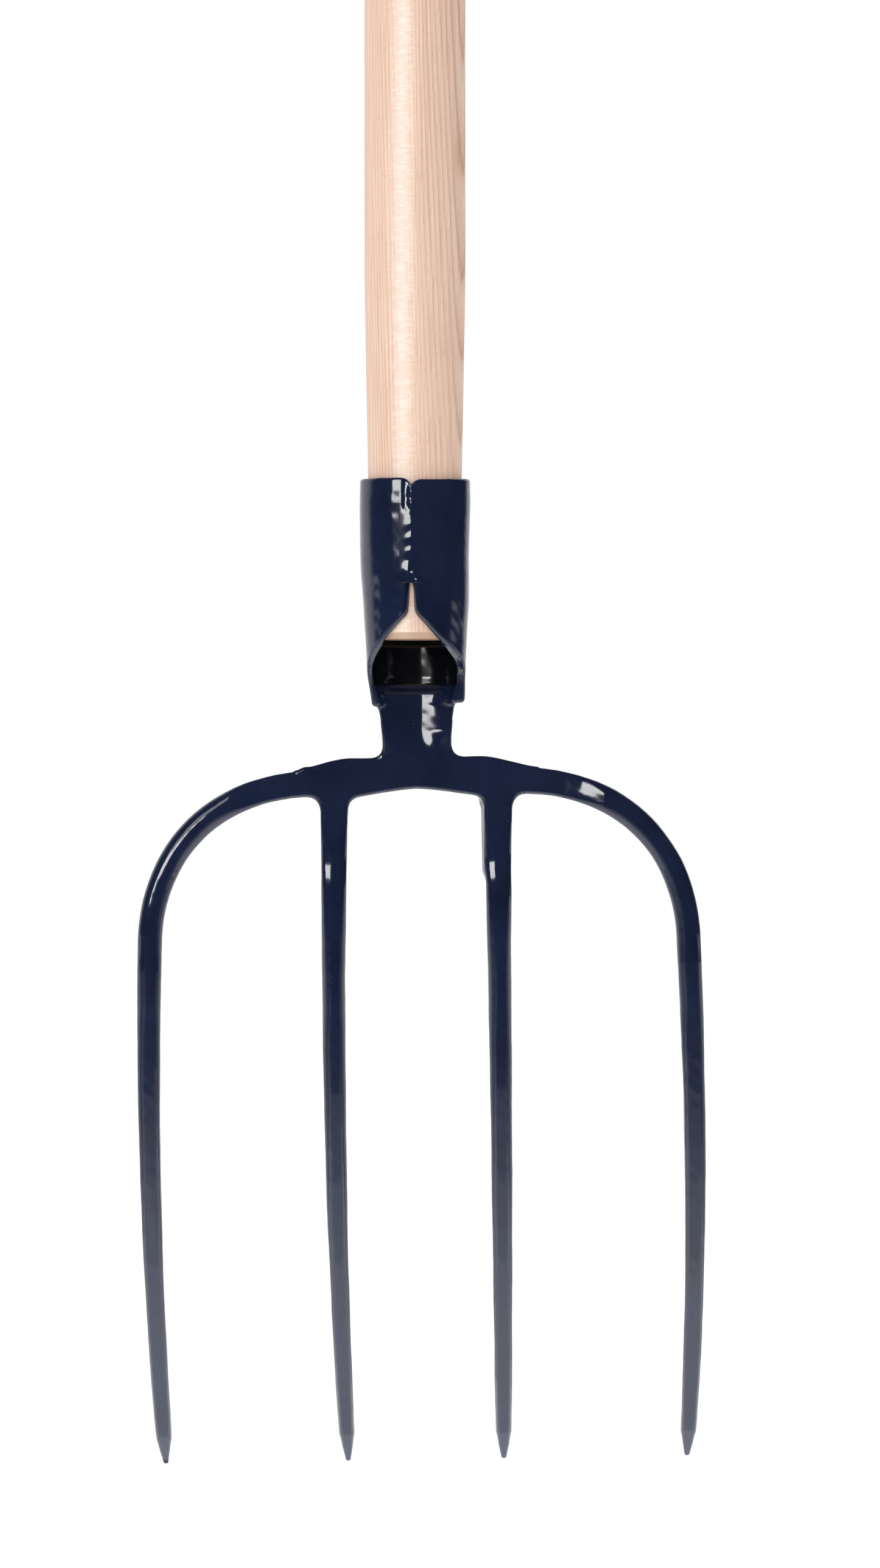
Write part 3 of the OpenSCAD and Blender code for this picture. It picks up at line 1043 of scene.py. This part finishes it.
def ramp(tree, fac, stops):
    """Colours or greys at places between zero and one."""
    made = node(tree, "ShaderNodeValToRGB")
    elements = made.color_ramp.elements
    while len(elements) < len(stops):
        elements.new(0.5)
    for element, (place, colour) in zip(elements, stops):
        element.position = place
        element.color = (*colour, 1.0) if isinstance(colour, tuple) else (colour, colour, colour, 1.0)
    tree.links.new(fac, made.inputs["Fac"])
    return made.outputs["Color"]


def blended(tree, fac, a, b, kind="MIX"):
    made = node(tree, "ShaderNodeMix", data_type="RGBA", blend_type=kind)
    for socket, value in ((made.inputs[0], fac), (made.inputs[6], a), (made.inputs[7], b)):
        feed(tree, socket, value)
    return made.outputs[2]


def bumped(tree, shader, height, distance, strength):
    made = node(tree, "ShaderNodeBump")
    made.inputs["Strength"].default_value = strength
    made.inputs["Distance"].default_value = distance
    tree.links.new(height, made.inputs["Height"])
    tree.links.new(made.outputs["Normal"], shader.inputs["Normal"])


def bell(tree, value, centre, width):
    """A soft bump of height one round a value."""
    off = math_node(tree, "DIVIDE", math_node(tree, "SUBTRACT", value, centre), width)
    return math_node(tree, "EXPONENT", times(tree, times(tree, off, off), -1.0))


# Navy paint: colours, dust, painted shade and drier paint inside the socket, and the gloss
paint_dark = (0.0060, 0.0098, 0.0280)
paint_light = (0.0088, 0.0145, 0.0400)
dust_colour = (0.12, 0.15, 0.22)
dust_scale = 420
dust_size = 0.07
dust_rare = 0.72
dust_share = 0.35
# Colour inside the socket's bore: painted shade, near black
bore_shade_colour = (0.0030, 0.0036, 0.0062)
bore_dry = 0.04
bore_over = 0.3
bore_low = 77.5
paint_rough = (0.06, 0.13)
paint_ior = 1.55
peel_share = 0.4


def bore_mask(tree):
    """One inside the socket, where the paint is thin and dry and its colour is darkened as painted shade, and
    none on the outside.
    """
    x, y, z = split(tree, node(tree, "ShaderNodeTexCoord").outputs["Object"])
    square = math_node(tree, "MULTIPLY_ADD", y, y, times(tree, x, x))
    radius = math_node(tree, "SQRT", square)
    rim_r = (wood_r(0) + bore_over) * MM
    bore_r = math_node(tree, "MULTIPLY_ADD", z, wood_slope, rim_r - wood_slope * rim_z * MM)
    inside = math_node(tree, "LESS_THAN", radius, bore_r)
    above = math_node(tree, "GREATER_THAN", z, (rim_z - bore_low) * MM)
    return times(tree, inside, above)


def dust_specks(tree, place):
    dust = node(tree, "ShaderNodeTexVoronoi")
    dust.inputs["Scale"].default_value = dust_scale
    tree.links.new(place, dust.inputs["Vector"])
    speck = math_node(tree, "LESS_THAN", dust.outputs["Distance"], dust_size)
    chosen = node(tree, "ShaderNodeSeparateColor")
    tree.links.new(dust.outputs["Color"], chosen.inputs["Color"])
    rare = math_node(tree, "GREATER_THAN", chosen.outputs["Red"], dust_rare)
    return times(tree, times(tree, speck, rare), dust_share)


def navy_paint():
    material, tree, shader = new_material("navy_paint")
    place = mapped(tree)
    tone = noise(tree, place, scale=55, detail=3)
    colour = ramp(tree, tone, [(NOISE_LOW, paint_dark), (NOISE_HIGH, paint_light)])
    colour = blended(tree, dust_specks(tree, place), colour, dust_colour)
    inside = bore_mask(tree)
    # Painted shade: the inside of the socket is drawn near black
    colour = blended(tree, inside, colour, bore_shade_colour)
    tree.links.new(colour, shader.inputs["Base Color"])
    rough = node(tree, "ShaderNodeMapRange")
    rough.inputs["To Min"].default_value, rough.inputs["To Max"].default_value = paint_rough
    tree.links.new(noise(tree, place, scale=120, detail=4), rough.inputs["Value"])
    dry = math_node(tree, "MULTIPLY_ADD", inside, bore_dry, rough.outputs["Result"])
    tree.links.new(dry, shader.inputs["Roughness"])
    shader.inputs["IOR"].default_value = paint_ior
    peel = noise(tree, place, scale=430, detail=1)
    waves = noise(tree, place, scale=150, detail=1)
    height = math_node(tree, "MULTIPLY_ADD", peel, peel_share, waves)
    bumped(tree, shader, height, distance=0.0001, strength=0.2)
    return material


# Ash wood: colours, shares of the effects, places in metres, and noise scales across and along the grain
early_wood = (0.81, 0.598, 0.485)
late_wood = (0.57, 0.342, 0.236)
fibre_tone = (0.83, 0.76, 0.70)
pore_tone = (0.74, 0.62, 0.55)
# Painted sheen: a pale stripe down the handle where the light shines on the wood, with the wood's ray flecks
# drawn lighter only inside it
sheen_band_wood = (0.91, 0.745, 0.63)
fleck_and_sheen_wood = (0.93, 0.80, 0.70)
patch_tone = (0.96, 0.92, 0.89)
stain_wood = (0.52, 0.29, 0.17)
# Painted shade: the handle's cut end, which faces down inside the socket, drawn darker
end_shade_wood = (0.40, 0.25, 0.165)
plain = (1.0, 1.0, 1.0)
streak_share = 0.7
pore_share = 0.6
sheen_band_share = 0.7
fleck_and_sheen_share = 0.7
patch_share = 0.8
end_shade_share = 0.75
stain_fibre = 0.9
stain_even = 0.1
slow_scale = (28, 28, 1.6)
wavy_scale = (110, 110, 7)
hold_scale = (75, 75, 4)
fibre_scale = (1500, 1500, 26)
pore_scale = (4200, 4200, 230)
fleck_scale = (260, 260, 1000)
patch_scale = (45, 45, 9)
late_stops = [(0.0, 0.55), (0.07, 1.0), (0.30, 0.35), (0.75, 0.0), (1.0, 0.30)]
hold_stops = [(NOISE_LOW, 0.2), (NOISE_HIGH, 0.95)]
streak_stops = [(NOISE_LOW, fibre_tone), (0.62, plain)]
pore_stops = [(NOISE_LOW, pore_tone), (0.40, plain)]
fleck_stops = [(0.48, 0.0), (0.60, 1.0)]
patch_stops = [(NOISE_LOW, patch_tone), (NOISE_HIGH, plain)]
pore_height = 0.6
wood_rough = 0.5
wood_shine = 0.4
grain_turn = (0, math.radians(1.9), math.radians(12))
rings_per_metre = 640
slow_wander = 5.0
fine_wander = 1.1
# Place and width of the painted sheen stripe across the handle
sheen_band_x = -0.0045
sheen_band_w = 0.0034
stain_x = 0.0162
stain_x_w = 0.0016
stain_z = 0.046
stain_z_w = 0.009
end_over = 2.35


def growth_rings(tree):
    """Strength of the late wood's lines, which come and go along the grain."""
    along = split(tree, mapped(tree, turn=grain_turn))["X"]
    slow = noise(tree, mapped(tree, slow_scale))
    wavy = noise(tree, mapped(tree, wavy_scale))
    ring = math_node(tree, "MULTIPLY_ADD", slow, slow_wander, times(tree, along, rings_per_metre))
    ring = math_node(tree, "MULTIPLY_ADD", wavy, fine_wander, ring)
    saw = math_node(tree, "FRACT", ring)
    hold = ramp(tree, noise(tree, mapped(tree, hold_scale)), hold_stops)
    return times(tree, ramp(tree, saw, late_stops), hold)


def stain_mask(tree, own, fibre):
    spot = times(tree, bell(tree, own["X"], stain_x, stain_x_w), bell(tree, own["Z"], stain_z, stain_z_w))
    spot = times(tree, spot, math_node(tree, "LESS_THAN", own["Y"], 0.0))
    return times(tree, spot, math_node(tree, "MULTIPLY_ADD", fibre, stain_fibre, stain_even))


def ash_wood():
    material, tree, shader = new_material("ash_wood")
    own = split(tree, mapped(tree))
    colour = blended(tree, growth_rings(tree), early_wood, late_wood)
    fibre = noise(tree, mapped(tree, fibre_scale), detail=3)
    colour = blended(tree, streak_share, colour, ramp(tree, fibre, streak_stops), "MULTIPLY")
    fine = noise(tree, mapped(tree, pore_scale))
    colour = blended(tree, pore_share, colour, ramp(tree, fine, pore_stops), "MULTIPLY")
    fleck = ramp(tree, noise(tree, mapped(tree, fleck_scale)), fleck_stops)
    # Painted sheen: a pale stripe at one place across the handle, with the ray flecks lightened only inside
    # it
    band = bell(tree, own["X"], sheen_band_x, sheen_band_w)
    colour = blended(tree, times(tree, band, sheen_band_share), colour, sheen_band_wood)
    colour = blended(tree, times(tree, fleck, times(tree, band, fleck_and_sheen_share)), colour, fleck_and_sheen_wood)
    patch = ramp(tree, noise(tree, mapped(tree, patch_scale)), patch_stops)
    colour = blended(tree, patch_share, colour, patch, "MULTIPLY")
    colour = blended(tree, stain_mask(tree, own, fibre), colour, stain_wood)
    # Painted shade on the handle's cut end in the socket: darker there
    cut_end = math_node(tree, "LESS_THAN", own["Z"], (handle_low + end_over) * MM)
    colour = blended(tree, times(tree, cut_end, end_shade_share), colour, end_shade_wood)
    tree.links.new(colour, shader.inputs["Base Color"])
    shader.inputs["Roughness"].default_value = wood_rough
    shader.inputs["Specular IOR Level"].default_value = wood_shine
    height = math_node(tree, "MULTIPLY_ADD", fine, pore_height, fibre)
    bumped(tree, shader, height, distance=0.0001, strength=0.6)
    return material


# Zinc on the screw
zinc_dark = (0.46, 0.47, 0.50)
zinc_light = (0.62, 0.63, 0.65)
zinc_rough = 0.34


def zinc_steel():
    material, tree, shader = new_material("zinc_steel")
    place = mapped(tree)
    spangle = noise(tree, place, scale=900, detail=3)
    colour = ramp(tree, spangle, [(NOISE_LOW, zinc_dark), (NOISE_HIGH, zinc_light)])
    tree.links.new(colour, shader.inputs["Base Color"])
    shader.inputs["Metallic"].default_value = 1.0
    shader.inputs["Roughness"].default_value = zinc_rough
    bumped(tree, shader, noise(tree, place, scale=2400), distance=0.00005, strength=0.5)
    return material


navy = navy_paint()
for part in (*forged_head, weld_bead):
    part.data.materials.append(navy)
ash_handle.data.materials.append(ash_wood())
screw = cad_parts["handle_screw"]
screw.data.materials.clear()
screw.data.materials.append(zinc_steel())


# Stage: a pale floor under the tine points, in metres. It is white to the camera, and only in the paint's
# reflections it glows as painted light, brighter near the fork and in a pool of light to the left.
floor_half = 6.0
floor_tone = (0.86, 0.86, 0.86, 1)
camera_white = 1.07
camera_share = 0.9
glow_len = 0.2
pool_turn = math.radians(52)
pool_wide = math.radians(26)
pool_fade = 1.1
pool_share = 0.9


def floor_glow(tree):
    """Painted glow of the floor, seen only in the paint's reflections."""
    x, y = split(tree, node(tree, "ShaderNodeTexCoord").outputs["Object"])[:2]
    away = math_node(tree, "MAXIMUM", times(tree, y, -1 / glow_len), 0.0)
    near = math_node(tree, "EXPONENT", times(tree, away, -1.0))
    left = times(tree, x, -1.0)
    ahead = times(tree, y, -1.0)
    square = math_node(tree, "MULTIPLY_ADD", left, left, times(tree, ahead, ahead))
    pool = bell(tree, math_node(tree, "ARCTAN2", left, ahead), pool_turn, pool_wide)
    pool = times(tree, pool, math_node(tree, "EXPONENT", times(tree, square, -pool_fade)))
    return math_node(tree, "MAXIMUM", near, times(tree, pool, pool_share))


def pale_floor():
    mesh = bpy.data.meshes.new("floor")
    level = floor_z * MM
    corners = [(x * floor_half, y * floor_half, level) for x, y in ((-1, -1), (1, -1), (1, 1), (-1, 1))]
    mesh.from_pydata(corners, [], [(0, 1, 2, 3)])
    floor = bpy.data.objects.new("floor", mesh)
    bpy.context.scene.collection.objects.link(floor)
    material = bpy.data.materials.new("pale_floor")
    material.use_nodes = True
    tree = material.node_tree
    tree.nodes.clear()
    matt = node(tree, "ShaderNodeBsdfDiffuse")
    matt.inputs["Color"].default_value = floor_tone
    white = node(tree, "ShaderNodeEmission")
    path = node(tree, "ShaderNodeLightPath").outputs
    seen = times(tree, path["Is Camera Ray"], camera_white)
    mirrored = times(tree, path["Is Glossy Ray"], floor_glow(tree))
    tree.links.new(math_node(tree, "MAXIMUM", seen, mirrored), white.inputs["Strength"])
    most = times(tree, path["Is Camera Ray"], camera_share)
    share = math_node(tree, "MAXIMUM", most, path["Is Glossy Ray"])
    both = node(tree, "ShaderNodeMixShader")
    tree.links.new(share, both.inputs[0])
    tree.links.new(matt.outputs[0], both.inputs[1])
    tree.links.new(white.outputs[0], both.inputs[2])
    out = node(tree, "ShaderNodeOutputMaterial")
    tree.links.new(both.outputs[0], out.inputs["Surface"])
    mesh.materials.append(material)


# Surroundings: directions that are white in the paint, and the even light
white_lean = -0.25
white_from = 0.35
white_full = 0.72
dark_side = 0.03
even_light = 0.94


def surroundings():
    """White behind and beside the object, dark towards the camera, as in a studio."""
    world = bpy.data.worlds.new("studio")
    bpy.context.scene.world = world
    world.use_nodes = True
    tree = world.node_tree
    tree.nodes.clear()
    way = split(tree, node(tree, "ShaderNodeTexCoord").outputs["Generated"])
    behind = node(tree, "ShaderNodeMapRange", interpolation_type="SMOOTHSTEP")
    behind.inputs["From Min"].default_value = white_from
    behind.inputs["From Max"].default_value = white_full
    behind.inputs["To Min"].default_value = dark_side
    behind.inputs["To Max"].default_value = 1.0
    tree.links.new(math_node(tree, "MULTIPLY_ADD", way["X"], white_lean, way["Y"]), behind.inputs["Value"])
    path = node(tree, "ShaderNodeLightPath").outputs
    shown = times(tree, path["Is Glossy Ray"], behind.outputs["Result"])
    shown = math_node(tree, "MAXIMUM", shown, path["Is Camera Ray"])
    strength = math_node(tree, "MAXIMUM", shown, times(tree, path["Is Diffuse Ray"], even_light))
    light = node(tree, "ShaderNodeBackground")
    light.inputs["Color"].default_value = (1, 1, 1, 1)
    tree.links.new(strength, light.inputs["Strength"])
    out = node(tree, "ShaderNodeOutputWorld")
    tree.links.new(light.outputs[0], out.inputs["Surface"])


# Lamps: a wide key to the left, a taller one above it, and a sheen that only the paint mirrors.
# Low cards over the floor shine up at the tines, and each has its length and its radiance.
key_turn = 32
key_target = (0, 0, -0.13)
cards_end = 0.125
card_width = 0.7
card_step = 0.01
card_lift = 0.011
card_gap = 0.0004
low_cards = [(0.185, 0.35), (0.285, 0.35), (0.435, 0.35), (0.07, 0.45)]


def soft_lamp(name, target, turn, rise, distance, width, height, radiance):
    """Area lamp seen from the target, turned to the camera's left, with a radiance where 1 is white."""
    lamp = bpy.data.lights.new(name, "AREA")
    lamp.shape = "RECTANGLE"
    lamp.size, lamp.size_y = width, height
    lamp.energy = radiance * math.pi * width * height
    a, e = math.radians(turn), math.radians(rise)
    way = np.array([-math.sin(a) * math.cos(e), -math.cos(a) * math.cos(e), math.sin(e)])
    obj = bpy.data.objects.new(name, lamp)
    bpy.context.scene.collection.objects.link(obj)
    obj.location = np.array(target) + way * distance
    obj.rotation_euler = Vector(-way).to_track_quat("-Z", "Y").to_euler()
    obj.visible_camera = False
    return obj


def lamps():
    soft_lamp("key", key_target, key_turn, rise=9.2, distance=2.4, width=1.2, height=0.5, radiance=3.0)
    sheen = soft_lamp("key_sheen", key_target, key_turn, rise=9.2, distance=2.39,
                      width=1.2, height=0.5, radiance=9.5)
    sheen.visible_diffuse = False
    soft_lamp("key_high", key_target, key_turn, rise=26.5, distance=2.4, width=1.2, height=0.95, radiance=3.2)
    for k, (long, radiance) in enumerate(low_cards):
        place = (0, cards_end - long / 2, floor_z * MM + card_lift + card_gap * k)
        soft_lamp("low_card_" + str(k), place, 0, -90, card_step, card_width, long, radiance)


# Camera at the photograph's place, level and looking along Y
camera_place = (0.0094, -2.1, -0.1897)
camera_lens = 128.2
sensor_height = 36.0


def photo_camera():
    data = bpy.data.cameras.new("photo")
    data.sensor_fit = "VERTICAL"
    data.sensor_height = sensor_height
    data.lens = camera_lens
    camera = bpy.data.objects.new("photo", data)
    bpy.context.scene.collection.objects.link(camera)
    camera.location = camera_place
    camera.rotation_euler = (math.pi / 2, 0, 0)
    bpy.context.scene.camera = camera


pale_floor()
surroundings()
lamps()
photo_camera()
bpy.context.scene.view_settings.view_transform = "Standard"
